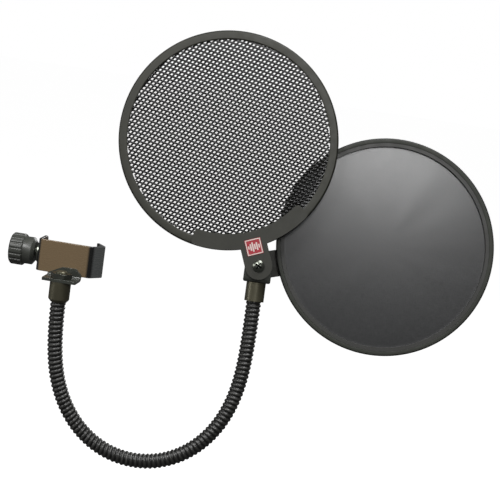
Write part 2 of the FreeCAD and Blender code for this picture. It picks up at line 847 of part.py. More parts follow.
def frame_parts(prefix, place, sheet_node, sheet_thickness):
    """A screen's frame, the sheet that sits in it and the ring that holds the sheet."""
    rim = D["screen_diameter"] / 2
    wall = rim - D["frame_wall"]
    lip, lip_back = rim - D["frame_lip"], D["lip_thickness"]
    depth = D["frame_depth"]
    gap = D["fit_clearance"] * 2
    middle = place.multiply(placed(0, arm_face() + D["arm_thickness"], D["screen_offset"]))
    around = middle.multiply(Placement(Vector(), Rotation(Z, 90)))  # local X along the screen's Y
    corners = [(0, lip), (0, rim), (depth, rim), (depth, wall), (lip_back, wall), (lip_back, lip)]
    body = turned(f"{prefix}_frame", corners, around)
    holes = sketch_on(body, "YZ", f"{prefix}_peg_holes")
    for angle in PEG_ANGLES:
        swing = math.radians(angle)
        x, y = peg_ring * math.sin(swing), -peg_ring * math.cos(swing)
        circle(holes, x, y, D["peg_diameter"] / 2 + D["fit_clearance"])
    pocket(body, holes, D["peg_length"] + gap, reverse=True)
    rim_edge = float(rim)
    round_edges(body, D["rim_radius"], lambda e: is_circle(e, rim_edge))
    sheet = cylinder(f"{sheet_node}_disc", wall - gap, sheet_thickness)
    keep(sheet_node, sheet, around.multiply(Placement(point(lip_back, 0, 0), ALONG_X)))
    start, inner, outer = lip_back + sheet_thickness, lip + D["retaining_ring_set_back"], wall - gap
    corners = [(start, inner), (start, outer), (depth, outer), (depth, inner)]
    turned(f"{prefix}_retaining_ring", corners, around)


def is_circle(edge, radius):
    return isinstance(edge.Curve, Part.Circle) and abs(edge.Curve.Radius - radius) < NEAR


# ---------------------------------------------------------------- assembly


def build():
    clamp_bracket()
    weld_nut()
    ear_bracket()
    pressure_pad()
    clamp_screw()
    knob()
    down = Placement(point(ferrule_x, ferrule_y, ear_bottom), Rotation(Y, 90))
    stud_length = strip + D["stud_nut_height"] + D["stud_tip"]
    ferrule(
        "lower_ferrule",
        D["lower_ferrule_diameter"],
        D["lower_ferrule_length"],
        D["stud_diameter"] - D["fit_clearance"] * 2,
        stud_length,
        True,
        down,
    )
    on_ear = placed(ferrule_x, ferrule_y, ear_top, angle=STUD_NUT_ANGLE)
    hex_nut("stud_nut", D["stud_nut_flats"], D["stud_nut_height"], D["stud_diameter"] / 2, on_ear)
    for i in range(1, len(LINK_TURNS) + 1):
        neck_link(i)
    top_of_ferrule = HEAD.multiply(Placement(point(0, 0, -D["yoke_drop"]), Rotation(Y, 90)))
    ferrule(
        "upper_ferrule",
        D["upper_ferrule_diameter"],
        D["upper_ferrule_length"],
        D["yoke_stud_diameter"] - D["fit_clearance"] * 2,
        strip + D["yoke_nut_height"],
        False,
        top_of_ferrule,
    )
    yoke()
    nut_seat = HEAD.multiply(placed(z=strip - D["yoke_drop"], angle=YOKE_NUT_ANGLE))
    bore = D["yoke_stud_diameter"] / 2
    hex_nut("yoke_nut", D["yoke_nut_flats"], D["yoke_nut_height"], bore, nut_seat)
    pivot_screw()
    pivot_parts()
    front, rear = screen_place(D["front_swing"], False), screen_place(D["rear_swing"], True)
    arm("front_arm", front, True)
    badge(front)
    frame_parts("front", front, "metal_mesh", D["mesh_thickness"])
    arm("rear_arm", rear, False)
    frame_parts("rear", rear, "fabric_screen", D["fabric_thickness"])


def check():
    """Stop if any object failed, or a sub-part isn't whole valid solids."""
    doc.recompute()
    bad = [o.Name for o in doc.Objects if {"Invalid", "Error"} & set(o.State)]
    if bad:
        raise ValueError(f"objects that failed: {bad}")
    for node, obj in parts.items():
        shape = obj.Shape
        if shape.isNull() or not shape.isValid() or not shape.Solids:
            raise ValueError(f"{node} has no valid solid")


def export():
    os.makedirs("parts", exist_ok=True)
    for node, obj in parts.items():
        obj.Shape.exportStep(f"parts/{node}.step")
        box, count = obj.Shape.BoundBox, len(obj.Shape.Solids)
        low, high = (box.XMin, box.YMin, box.ZMin), (box.XMax, box.YMax, box.ZMax)
        span = " ".join(f"{a:.1f}..{b:.1f}" for a, b in zip(low, high))
        print(f"{node}: {count} solid, {obj.Shape.Volume:.0f} mm3, {span}")


build()
check()
export()
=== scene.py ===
import json
import math

import bmesh
import bpy
import numpy as np
from mathutils import Matrix, Vector

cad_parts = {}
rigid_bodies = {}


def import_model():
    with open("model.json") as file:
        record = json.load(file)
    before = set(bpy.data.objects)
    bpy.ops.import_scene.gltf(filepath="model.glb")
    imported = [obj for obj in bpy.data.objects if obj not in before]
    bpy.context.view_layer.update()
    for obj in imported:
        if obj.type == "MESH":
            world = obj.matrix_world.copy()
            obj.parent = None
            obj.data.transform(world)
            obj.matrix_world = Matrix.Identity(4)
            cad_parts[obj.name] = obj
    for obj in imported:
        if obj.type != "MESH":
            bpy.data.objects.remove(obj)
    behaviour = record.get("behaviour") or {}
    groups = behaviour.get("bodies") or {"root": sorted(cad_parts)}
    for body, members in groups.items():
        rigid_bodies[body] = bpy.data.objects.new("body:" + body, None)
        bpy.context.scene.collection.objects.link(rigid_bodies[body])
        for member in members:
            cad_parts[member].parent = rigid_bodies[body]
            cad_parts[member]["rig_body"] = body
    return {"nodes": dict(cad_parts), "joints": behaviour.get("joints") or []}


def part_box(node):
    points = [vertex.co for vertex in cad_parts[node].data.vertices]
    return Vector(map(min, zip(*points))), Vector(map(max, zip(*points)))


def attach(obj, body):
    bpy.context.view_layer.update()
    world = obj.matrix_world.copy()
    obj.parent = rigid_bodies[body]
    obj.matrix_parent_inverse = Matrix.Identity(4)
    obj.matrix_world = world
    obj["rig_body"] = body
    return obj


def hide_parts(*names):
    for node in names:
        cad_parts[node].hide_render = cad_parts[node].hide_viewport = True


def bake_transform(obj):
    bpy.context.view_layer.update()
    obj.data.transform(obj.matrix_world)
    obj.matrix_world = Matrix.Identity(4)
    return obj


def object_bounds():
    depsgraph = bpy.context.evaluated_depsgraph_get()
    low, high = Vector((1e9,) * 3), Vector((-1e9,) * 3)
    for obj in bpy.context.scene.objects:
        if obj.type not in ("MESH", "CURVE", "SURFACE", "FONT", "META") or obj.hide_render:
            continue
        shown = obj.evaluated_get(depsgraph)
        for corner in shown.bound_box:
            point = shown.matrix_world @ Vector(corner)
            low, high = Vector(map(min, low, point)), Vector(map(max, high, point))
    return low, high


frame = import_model()
cad_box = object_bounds()

MM = 0.001
NODES = frame["nodes"]
JOINTS = {joint["name"]: joint for joint in frame["joints"]}

# Lengths below are in millimetres and angles in degrees, unless a name or comment says otherwise.

# ---------------------------------------------------------------- places


def box_centre(node):
    low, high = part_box(node)
    return (low + high) / 2


def axes_at(origin, x, y, z):
    """A matrix from a local frame, in millimetres, to the row frame, in metres."""
    m = Matrix((x, y, z)).transposed().to_4x4() @ Matrix.Scale(MM, 4)
    m.translation = origin
    return m


PIVOT = Vector(JOINTS["front_screen_swing"]["pos_m"])
BACK = Vector(JOINTS["front_screen_swing"]["axis"]).normalized()
FRONT_SWING = -21.0  # the front screen's turn from the yoke's own line, at rest


def screen_axes(node, back):
    """A screen's frame: origin on the pivot, +Z to the ring's middle, -Y to the side of its arm."""
    to_ring = box_centre(node) - PIVOT
    z = (to_ring - back * to_ring.dot(back)).normalized()
    return axes_at(PIVOT, back.cross(z), back, z)


FRONT = screen_axes("front_frame", BACK)
REAR = screen_axes("rear_frame", -BACK)
RING_OFFSET = (FRONT.inverted() @ box_centre("front_frame")).z
UP = Matrix.Rotation(math.radians(-FRONT_SWING), 3, BACK) @ FRONT.to_3x3().col[2].normalized()
RIGHT = BACK.cross(UP)
HEAD = axes_at(PIVOT, RIGHT, BACK, UP)

# ---------------------------------------------------------------- camera

SENSOR_WIDTH, LENS = 36.0, 113.976
CAMERA_DISTANCE = 1.1  # metres
CAMERA_ROLL = 7.6
PIVOT_RIGHT, PIVOT_DOWN = 5.9065, 11.1181  # the pivot's place from the middle of the view


def make_camera():
    """The main view: straight at the front screen, with the picture rolled a little."""
    roll = math.radians(CAMERA_ROLL)
    right = math.sin(roll) * UP + math.cos(roll) * RIGHT
    up = math.cos(roll) * UP - math.sin(roll) * RIGHT
    data = bpy.data.cameras.new("camera")
    data.sensor_width, data.lens = SENSOR_WIDTH, LENS
    data.clip_start, data.clip_end = 0.01, 50
    camera = bpy.data.objects.new("camera", data)
    bpy.context.scene.collection.objects.link(camera)
    turn = Matrix((right, up, -BACK)).transposed().to_4x4()
    turn.translation = PIVOT - BACK * CAMERA_DISTANCE - right * PIVOT_RIGHT * MM + up * PIVOT_DOWN * MM
    camera.matrix_world = turn
    bpy.context.scene.camera = camera


# ---------------------------------------------------------------- materials


class Nodes:
    """A material's node tree, with short calls for the nodes that this scene uses."""

    def __init__(self, name):
        self.material = bpy.data.materials.new(name)
        self.material.use_nodes = True
        self.tree = self.material.node_tree
        self.shader = self.tree.nodes["Principled BSDF"]
        coordinates = self.tree.nodes.new("ShaderNodeTexCoord")
        self.place = coordinates.outputs["Object"]
        self.uv = coordinates.outputs["UV"]

    def add(self, kind, inputs=(), **settings):
        node = self.tree.nodes.new(kind)
        for key, value in settings.items():
            setattr(node, key, value)
        for key, value in dict(inputs).items():
            self.put(node.inputs[key], value)
        return node

    def put(self, socket, value):
        if isinstance(value, bpy.types.NodeSocket):
            self.tree.links.new(value, socket)
        else:
            socket.default_value = value

    def set(self, **values):
        """Shader inputs by name, with _ for a space."""
        for key, value in values.items():
            self.put(self.shader.inputs[key.replace("_", " ")], value)

    def noise(self, scale, detail=2.0, roughness=0.5, place=None):
        inputs = {"Vector": place or self.place, "Scale": scale, "Detail": detail, "Roughness": roughness}
        return self.add("ShaderNodeTexNoise", inputs).outputs["Fac"]

    def spread(self, value, low, high, start=0.3, end=0.7):
        """A value that runs from start to end, spread from low to high."""
        inputs = {"Value": value, "From Min": start, "From Max": end, "To Min": low, "To Max": high}
        return self.add("ShaderNodeMapRange", inputs).outputs["Result"]

    def ramp(self, value, first, last):
        """A colour between two, each given with its place from 0 to 1."""
        node = self.add("ShaderNodeValToRGB", {"Fac": value})
        for mark, (at, colour) in zip(node.color_ramp.elements, (first, last)):
            mark.position, mark.color = at, (*colour, 1)
        return node.outputs["Color"]

    def blotched(self, noise, colour, share):
        """A colour that noise makes darker and lighter by a share."""
        return self.ramp(noise, (0.3, tone(colour, 1 - share)), (0.7, tone(colour, 1 + share)))

    def math(self, operation, *values):
        node = self.add("ShaderNodeMath", operation=operation)
        for socket, value in zip(node.inputs, values):
            self.put(socket, value)
        return node.outputs["Value"]

    def mix(self, factor, a, b):
        node = self.add("ShaderNodeMix", data_type="RGBA")
        sockets = [s for s in node.inputs if s.enabled and s.name in ("Factor", "A", "B")]
        for socket, value in zip(sockets, (factor, a, b)):
            self.put(socket, (*value, 1) if isinstance(value, tuple) else value)
        return next(s for s in node.outputs if s.enabled)

    def bump(self, height, distance, strength, under=None):
        inputs = {"Height": height, "Distance": distance, "Strength": strength}
        if under is not None:
            inputs["Normal"] = under
        return self.add("ShaderNodeBump", inputs).outputs["Normal"]


def tone(colour, share):
    return tuple(c * share for c in colour)


def moulded_nodes(name, colour, rough, grain=0.35, depth=0.02, specular=0.5):
    """Moulded plastic: fine spark grain, faint blotches and a little pale dust."""
    n = Nodes(name)
    shade = n.blotched(n.noise(60.0, 4.0), colour, 0.12)
    dusty = n.spread(n.noise(2500.0, 1.0), 0.0, 1.0, 0.62, 0.75)
    n.set(Base_Color=n.mix(dusty, shade, tone(colour, 1.25)))
    n.set(Roughness=n.spread(n.noise(180.0, 3.0), rough - 0.06, rough + 0.08))
    n.shader.inputs["Specular IOR Level"].default_value = specular
    cells = n.add("ShaderNodeTexVoronoi", {"Vector": n.place, "Scale": 1000.0 / grain})
    waves = n.bump(n.noise(400.0), 0.03 * MM, 0.5)
    n.set(Normal=n.bump(cells.outputs["Distance"], depth * MM, 0.6, waves))
    return n


def moulded(name, colour, rough, **settings):
    return moulded_nodes(name, colour, rough, **settings).material


# Painted shade: a ring's rounded rim is coloured darker than its face, coming in between RIM_START and
# RIM_END.
RIM_START, RIM_END = 75.15, 75.7  # radii between which a ring's face turns into its rim
RIM_PAINTED_SHADE = (0.004, 0.004, 0.004)


def ring_material(name, centre, colour):
    """Moulded plastic whose rounded rim is coloured darker than its face, as painted shade."""
    n = moulded_nodes(name, colour, 0.48, specular=0.35)
    away = n.add("ShaderNodeVectorMath", operation="DISTANCE")
    n.put(away.inputs[0], n.place)
    n.put(away.inputs[1], tuple(centre))
    face = n.shader.inputs["Base Color"].links[0].from_socket
    # Painted shade on the rim: the face colour gives way to the dark rim colour.
    outer = n.spread(away.outputs["Value"], 0.0, 1.0, RIM_START * MM, RIM_END * MM)
    n.set(Base_Color=n.mix(outer, face, RIM_PAINTED_SHADE))
    return n.material


def metal(name, colour, rough, metallic=1.0, peel=0.02, coat=0.0, bands=()):
    """Painted or plated steel: orange peel, rubbed marks and uneven gloss.

    Each band is where along X its colour starts to take over, where it has, and the colour."""
    n = Nodes(name)
    stretched = n.add("ShaderNodeMapping", {"Vector": n.place, "Scale": (1.0, 1.0, 9.0)})
    rubbed = n.noise(300.0, 5.0, 0.7, stretched.outputs["Vector"])
    shade = n.blotched(n.noise(90.0, 3.0), colour, 0.15)
    for start, end, other in bands:
        x = n.add("ShaderNodeSeparateXYZ", {"Vector": n.place}).outputs["X"]
        shade = n.mix(n.spread(x, 0.0, 1.0, start * MM, end * MM), shade, other)
    n.set(Base_Color=shade)
    n.shader.inputs["Metallic"].default_value = metallic
    n.set(Roughness=n.spread(rubbed, rough - 0.04, rough + 0.08))
    if coat:
        n.shader.inputs["Coat Weight"].default_value = coat
        n.shader.inputs["Coat Roughness"].default_value = 0.08
    rubs = n.bump(rubbed, 0.004 * MM, 0.5)
    n.set(Normal=n.bump(n.noise(700.0), peel * MM, 0.7, rubs))
    return n.material


JAW_REACH = 6.6  # from the plate's bend to the jaw's tip, along X


def plate_material():
    """Gloss black paint, with a painted warm reflection across the plate and a painted grey reflection on the
    jaw past its bend; at each of the bracket's bends the plain black is left.
    """
    low, high = (corner.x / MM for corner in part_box("clamp_bracket"))
    bend = high - JAW_REACH
    warm_reflection, dark, grey_reflection = (0.15, 0.106, 0.06), (0.006, 0.006, 0.006), (0.075, 0.078, 0.077)
    # Painted reflection: the plate's face is coloured warm and the jaw's face grey, with plain black left at
    # the bends.
    bands = [(low + 1.6, low + 2.6, warm_reflection), (bend - 3.2, bend - 1.6, dark), (bend + 0.4, bend + 1.6, grey_reflection)]
    return metal("gloss_plate", dark, 0.24, metallic=0.15, coat=0.3, bands=bands)


def neck_material():
    """Black coated wire: coloured darker between the ribs as painted shade, and paler in spots along their
    tops.
    """
    n = Nodes("ribbed_steel")
    stand = n.add("ShaderNodeAttribute", attribute_name="stand").outputs["Fac"]
    blotch = n.noise(120.0, 4.0)
    # Painted shade: the colour darkens from the rib tops down into the grooves between them.
    shade = n.mix(n.spread(stand, 0.0, 1.0, 0.1, 0.95), (0.004, 0.004, 0.004), (0.022, 0.022, 0.020))
    top, spots = n.spread(stand, 0.0, 1.0, 0.92, 1.0), n.spread(blotch, 0.0, 0.7, 0.48, 0.66)
    n.set(Base_Color=n.mix(n.math("MULTIPLY", top, spots), shade, (0.06, 0.06, 0.057)))
    n.set(Roughness=n.spread(n.noise(500.0, 3.0), 0.28, 0.42))
    n.shader.inputs["Metallic"].default_value = 0.1
    n.shader.inputs["Specular IOR Level"].default_value = 0.5
    n.set(Normal=n.bump(n.noise(1500.0), 0.012 * MM, 0.6))
    return n.material


def badge_material(name, colour, rough):
    """Enamel under a thin clear coat."""
    n = Nodes(name)
    n.set(Base_Color=n.blotched(n.noise(500.0, 3.0), colour, 0.1))
    n.set(Roughness=n.spread(n.noise(900.0, 3.0), rough - 0.05, rough + 0.08))
    n.shader.inputs["Coat Weight"].default_value = 0.4
    n.shader.inputs["Coat Roughness"].default_value = 0.1
    n.set(Normal=n.bump(n.noise(800.0), 0.01 * MM, 0.5))
    return n.material


# ---------------------------------------------------------------- mesh building


def new_piece(name, points, faces, materials, place=None, smooth_angle=None):
    """An object from points and faces; sharp where its faces meet at more than an angle."""
    mesh = bpy.data.meshes.new(name)
    points = np.asarray(points, float)
    if place is not None:
        m = np.array(place, float)
        points = points @ m[:3, :3].T + m[:3, 3]
    mesh.from_pydata(points.tolist(), [], [tuple(f) for f in faces])
    mesh.validate()
    for material in materials:
        mesh.materials.append(material)
    fix_normals(mesh)
    mesh.shade_smooth()
    if smooth_angle is not None:
        mesh.set_sharp_from_angle(angle=math.radians(smooth_angle))
    piece = bpy.data.objects.new(name, mesh)
    bpy.context.scene.collection.objects.link(piece)
    return piece


def fix_normals(mesh):
    bm = bmesh.new()
    bm.from_mesh(mesh)
    bmesh.ops.recalc_face_normals(bm, faces=bm.faces)
    bm.to_mesh(mesh)
    bm.free()


def grid_faces(rows, columns, wrap_rows=False, first=0):
    """Quads over rings of points that are numbered row by row."""
    faces = []
    for r in range(rows if wrap_rows else rows - 1):
        for c in range(columns):
            a, b = r * columns + c, r * columns + (c + 1) % columns
            s = (r + 1) % rows * columns
            faces.append((first + a, first + b, first + s + (c + 1) % columns, first + s + c))
    return faces


def around(count):
    """Angles of one full turn, in radians."""
    return np.linspace(0, 2 * math.pi, count, endpoint=False)


def circle(radius, along, turn):
    """Points about local Y; a turn of zero is on +Z."""
    along = np.broadcast_to(along, turn.shape)
    return np.stack([radius * np.sin(turn), along, radius * np.cos(turn)], axis=1)


def rounded(corners, steps=3):
    """An outline with each (x, y, radius) corner rounded."""
    out, count = [], len(corners)
    for i, (x, y, radius) in enumerate(corners):
        here = np.array((x, y), float)
        before = np.array(corners[i - 1][:2], float) - here
        after = np.array(corners[(i + 1) % count][:2], float) - here
        before, after = before / np.linalg.norm(before), after / np.linalg.norm(after)
        half = math.acos(np.clip(before @ after, -1, 1)) / 2
        away = radius / math.tan(half)
        a, b = here + before * away, here + after * away
        for t in np.linspace(0, 1, steps + 1):
            out.append(tuple((1 - t) ** 2 * a + 2 * t * (1 - t) * here + t**2 * b))
    return out


BEVEL_SEGMENTS, BEVEL_ANGLE, SHARP_ANGLE, FLAT_ANGLE = 2, 40, 30, 2


def softened(node, width, material):
    """A piece with a CAD node's shape and rounded edges, which stands for the node."""
    source = NODES[node]
    bm = bmesh.new()
    bm.from_mesh(source.data)
    bmesh.ops.remove_doubles(bm, verts=bm.verts, dist=1e-6)
    bmesh.ops.dissolve_limit(bm, angle_limit=math.radians(FLAT_ANGLE), verts=bm.verts, edges=bm.edges)
    mesh = bpy.data.meshes.new(f"{node}_look")
    bm.to_mesh(mesh)
    bm.free()
    mesh.materials.clear()
    mesh.materials.append(material)
    piece = bpy.data.objects.new(f"{node}_look", mesh)
    bpy.context.scene.collection.objects.link(piece)
    bevel = piece.modifiers.new("edges", "BEVEL")
    bevel.width, bevel.segments = width * MM, BEVEL_SEGMENTS
    bevel.limit_method, bevel.angle_limit = "ANGLE", math.radians(BEVEL_ANGLE)
    bevel.harden_normals = True
    mesh.shade_smooth()
    mesh.set_sharp_from_angle(angle=math.radians(SHARP_ANGLE))
    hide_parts(node)
    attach(piece, source["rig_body"])
    return piece


def repaint(node, material):
    """Give a CAD node a better material."""
    for slot in NODES[node].material_slots:
        slot.material = material


# ---------------------------------------------------------------- gooseneck

NECK_LINKS = 12
UPPER_FERRULE, YOKE_DROP = 13.2, 11.5  # the ferrule's length, and from the pivot down to its top
RIB_PITCH = 3.1
RIB_TOP, RIB_FLOOR = 5.3, 4.45  # radii
RIB_SHARE = 0.70  # the share of the pitch that the round wire takes
INNER_WIRE = 0.22  # how high the wire between the ribs stands, as a share of a rib
SKIN_POINTS, SKIN_STEPS = 44, 11  # around the tube, and along each pitch
HIDDEN_END, MOUTH = 2.0, 0.3  # how far the skin goes on inside a ferrule, and where its mouth is cleared
MOUTH_RADIUS = 5.1


def neck_line():
    """The gooseneck's centreline: the lengths, places and slopes of the points it goes through."""
    low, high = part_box("lower_ferrule")
    start = Vector(((low.x + high.x) / 2, (low.y + high.y) / 2, low.z))
    order = [f"neck_{'bend' if k % 2 else 'sway'}_{(k + 1) // 2:02d}" for k in range(1, NECK_LINKS)]
    knots = [start, *(Vector(JOINTS[name]["pos_m"]) for name in order)]
    knots.append(PIVOT - UP * (UPPER_FERRULE + YOKE_DROP) * MM)
    knots = np.array(knots) / MM
    at = np.concatenate([[0], np.cumsum(np.linalg.norm(np.diff(knots, axis=0), axis=1))])
    slopes = clamped_slopes(at, knots, np.array((0, 0, -1.0)), np.array(UP))
    return at, knots, slopes


def clamped_slopes(at, knots, first, last):
    """The slopes at the knots of the smooth cubic through them, with both end slopes given."""
    count = len(at)
    step = np.diff(at)
    matrix, right = np.zeros((count, count)), np.zeros((count, 3))
    matrix[0, 0] = matrix[-1, -1] = 1
    right[0], right[-1] = first, last
    for i in range(1, count - 1):
        a, b = step[i - 1], step[i]
        matrix[i, i - 1 : i + 2] = (b, 2 * (a + b), a)
        right[i] = 3 * (b * (knots[i] - knots[i - 1]) / a + a * (knots[i + 1] - knots[i]) / b)
    return np.linalg.solve(matrix, right)


def along_neck(line, s):
    """The place and direction of the centreline at a length along it, straight past its ends."""
    at, knots, slopes = line
    if s <= at[0] or s >= at[-1]:
        i = 0 if s <= at[0] else -1
        return knots[i] + slopes[i] * (s - at[i]), slopes[i] / np.linalg.norm(slopes[i])
    i = int(np.searchsorted(at, s, side="right")) - 1
    h = at[i + 1] - at[i]
    t = (s - at[i]) / h
    ends = np.array((knots[i], slopes[i] * h, knots[i + 1], slopes[i + 1] * h))
    place = np.array((2 * t**3 - 3 * t**2 + 1, t**3 - 2 * t**2 + t, 3 * t**2 - 2 * t**3, t**3 - t**2)) @ ends
    way = np.array((6 * t**2 - 6 * t, 3 * t**2 - 4 * t + 1, 6 * t - 6 * t**2, 3 * t**2 - 2 * t)) @ ends
    return place, way / np.linalg.norm(way)


def rib_radius(phase):
    """The ribbed skin's radius, and how high it stands from 0 to 1, at a share of the pitch."""
    phase = phase % 1.0
    on_wire = phase < RIB_SHARE
    x = np.where(on_wire, phase / RIB_SHARE * 2 - 1, 0.0)
    wire = np.sqrt(np.clip(1 - np.abs(x) ** 2.4, 0, 1))
    y = np.where(on_wire, 0.0, (phase - RIB_SHARE) / (1 - RIB_SHARE) * 2 - 1)
    height = np.where(on_wire, wire, INNER_WIRE * (1 - y**2))
    return RIB_FLOOR + (RIB_TOP - RIB_FLOOR) * height, height


def skin_rings(line, start, end, normal):
    """Rings of the wound skin from one length along the neck to another."""
    at = line[0]
    turn = around(SKIN_POINTS)
    count = max(2, round((end - start) / (RIB_PITCH / SKIN_STEPS))) + 1
    points, heights = [], []
    for s in np.linspace(start, end, count):
        centre, way = along_neck(line, s)
        normal = normal - way * (normal @ way)
        normal /= np.linalg.norm(normal)
        side = np.cross(way, normal)
        radius, height = rib_radius(s / RIB_PITCH - turn / (2 * math.pi))
        if s < at[0] + MOUTH or s > at[-1] - MOUTH:
            radius = np.minimum(radius, MOUTH_RADIUS)
        spoke = np.cos(turn)[:, None] * normal + np.sin(turn)[:, None] * side
        points.append(centre + radius[:, None] * spoke)
        heights.append(height)
    return points, heights, normal


def make_neck(material):
    """The wound, ribbed skin in closed lengths, one across each joint and one at each end."""
    line = neck_line()
    at = line[0]
    cuts = [at[0] - HIDDEN_END, *(at[:-1] + at[1:]) / 2, at[-1] + HIDDEN_END]
    normal = np.array((1.0, 0, 0))
    for n, (start, end) in enumerate(zip(cuts[:-1], cuts[1:])):
        points, heights, normal = skin_rings(line, start, end, normal)
        count = len(points)
        faces = grid_faces(count, SKIN_POINTS)
        faces.append(tuple(range(SKIN_POINTS)))
        faces.append(tuple(range((count - 1) * SKIN_POINTS, count * SKIN_POINTS)))
        piece = new_piece(f"neck_skin_{n:02d}", np.concatenate(points) * MM, faces, [material])
        mark_caps_sharp(piece.data)
        stand = piece.data.attributes.new("stand", "FLOAT", "POINT")
        stand.data.foreach_set("value", np.concatenate(heights).astype(np.float32))
        if n == 0:
            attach(piece, "root")
            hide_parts("neck_link_01")
        elif n == NECK_LINKS:
            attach(piece, "head")
        else:
            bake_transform(piece)
            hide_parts(f"neck_link_{n + 1:02d}")


def mark_caps_sharp(mesh):
    """Keep the shading of a tube's side from leaning on its end caps."""
    bm = bmesh.new()
    bm.from_mesh(mesh)
    for face in bm.faces:
        if len(face.verts) > 4:
            face.smooth = False
            for edge in face.edges:
                edge.smooth = False
    bm.to_mesh(mesh)
    bm.free()


# ---------------------------------------------------------------- rings

LIP_RADIUS, WALL_RADIUS, RIM_RADIUS = 70.0, 72.8, 76.0
RING_FACE = -8.65  # the lip's front, along the screen's Y
RING_DEPTH, LIP_DEPTH = 5.0, 1.6
SHEET_DEPTH = -6.65  # the mid-plane of the sheet behind the lip, along the screen's Y
RING_SEGMENTS = 288


def make_ring(prefix, place, material):
    """A screen's frame: a flat lip, a rounded rim and a wall behind."""
    back, lip_back = RING_FACE + RING_DEPTH, RING_FACE + LIP_DEPTH
    outline = rounded(
        [
            (LIP_RADIUS, RING_FACE + 0.25, 0.25),
            (LIP_RADIUS + 0.5, RING_FACE, 0.15),
            (RIM_RADIUS - 1.1, RING_FACE, 0.5),
            (RIM_RADIUS, RING_FACE + 1.1, 0.6),
            (RIM_RADIUS, back - 0.4, 0.4),
            (RIM_RADIUS - 0.8, back, 0.3),
            (WALL_RADIUS, back, 0.2),
            (WALL_RADIUS, lip_back, 0.1),
            (LIP_RADIUS, lip_back, 0.3),
        ]
    )
    turn = around(RING_SEGMENTS)
    points = np.concatenate([circle(radius, along, turn) for radius, along in outline])
    faces = grid_faces(len(outline), RING_SEGMENTS, wrap_rows=True)
    middle = place @ Matrix.Translation((0, 0, RING_OFFSET))
    ring = new_piece(f"{prefix}_frame_ring", points, faces, [material], middle, 35)
    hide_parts(f"{prefix}_frame")
    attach(ring, f"{prefix}_screen")


# ---------------------------------------------------------------- metal mesh

CELL_LONG, CELL_SHORT = 4.6, 3.2
MESH_RADIUS, MESH_MARGIN = 72.6, 1.0  # the sheet's edge, and how far short of it the strands stop
STRAND_WIDTH, STRAND_THICKNESS = 1.42, 0.55
STRAND_RISE = 0.34  # how far the bonds stand to the front and to the back
STRAND_TILT = 18.0
BOND_REACH = 0.86  # how far a strand's corners go towards the next row, as a share of the way
LEG_POINTS = (0.12, 0.5, 0.88)  # places along each straight leg between two corners
FLAT_START, FLAT_RUN = 0.5, 2.0  # the sheet is pressed flat near the lip: where from the lip, and over what
STRAND_SECTION = [(-0.5, 0.1), (-0.14, -0.5), (0.14, -0.5), (0.5, 0.1), (0.36, 0.5), (-0.36, 0.5)]


def zigzag(row, column):
    """One turning point of a strand: peaks and valleys take turns, and neighbours meet them."""
    sense = 1 if (row + column) % 2 == 0 else -1
    z = (row + sense * BOND_REACH / 2) * CELL_SHORT / 2
    return np.array((column * CELL_LONG / 2, -sense * STRAND_RISE, z))


def strand_rings(row, columns, section):
    """A strand's section at each point along its zigzag, tilted to the side that it leans to."""
    corners = [zigzag(row, c) for c in columns]
    spine = np.array([a + (b - a) * t for a, b in zip(corners[:-1], corners[1:]) for t in LEG_POINTS])
    rings = []
    for p, way in zip(spine, np.gradient(spine, axis=0)):
        open_share = float(np.clip((LIP_RADIUS - FLAT_START - math.hypot(p[0], p[2])) / FLAT_RUN, 0.0, 1.0))
        way = way / np.linalg.norm(way)
        across = np.cross(np.array((0, 1.0, 0)), way)
        across /= np.linalg.norm(across)
        if across[2] < 0:
            across = -across
        out = np.cross(way, across)
        tilt = math.radians(STRAND_TILT) * (0.3 + 0.7 * open_share)
        sense = 1.0 if out[1] < 0 else -1.0
        wide = across * math.cos(tilt) + sense * out * math.sin(tilt)
        thick = -sense * across * math.sin(tilt) + out * math.cos(tilt)
        centre = np.array((p[0], SHEET_DEPTH + p[1] * (0.2 + 0.8 * open_share), p[2] + RING_OFFSET))
        rings.append(centre + section[:, :1] * wide + section[:, 1:] * thick)
    return rings


def make_mesh(material):
    """The expanded steel sheet: slit strands pulled into diamonds, each one tilted and bonded."""
    row_pitch, column_pitch = CELL_SHORT / 2, CELL_LONG / 2
    section = np.array(STRAND_SECTION) * (STRAND_WIDTH, STRAND_THICKNESS)
    sides = len(section)
    points, faces = [], []
    last_row = int(MESH_RADIUS / row_pitch)
    for row in range(-last_row, last_row + 1):
        room = (MESH_RADIUS - MESH_MARGIN) ** 2 - (row * row_pitch) ** 2
        reach = int(math.sqrt(max(0.0, room)) / column_pitch)
        if reach < 1:
            continue
        rings = strand_rings(row, range(-reach, reach + 1), section)
        first = len(points) * sides
        last = first + (len(rings) - 1) * sides
        points += rings
        faces += grid_faces(len(rings), sides, first=first)
        faces.append(tuple(range(first, first + sides)))
        faces.append(tuple(range(last, last + sides)))
    piece = new_piece("expanded_mesh", np.concatenate(points), faces, [material], FRONT, 50)
    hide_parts("metal_mesh")
    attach(piece, "front_screen")


# ---------------------------------------------------------------- fabric

FABRIC_RADIUS = 72.7
FABRIC_CROWN = 1.6
FABRIC_THICKNESS = 0.25
FABRIC_RINGS, FABRIC_SPOKES = 48, 144
PULL_DEPTH, PULL_SEED = 0.05, 7
THREAD_PITCH = 0.42


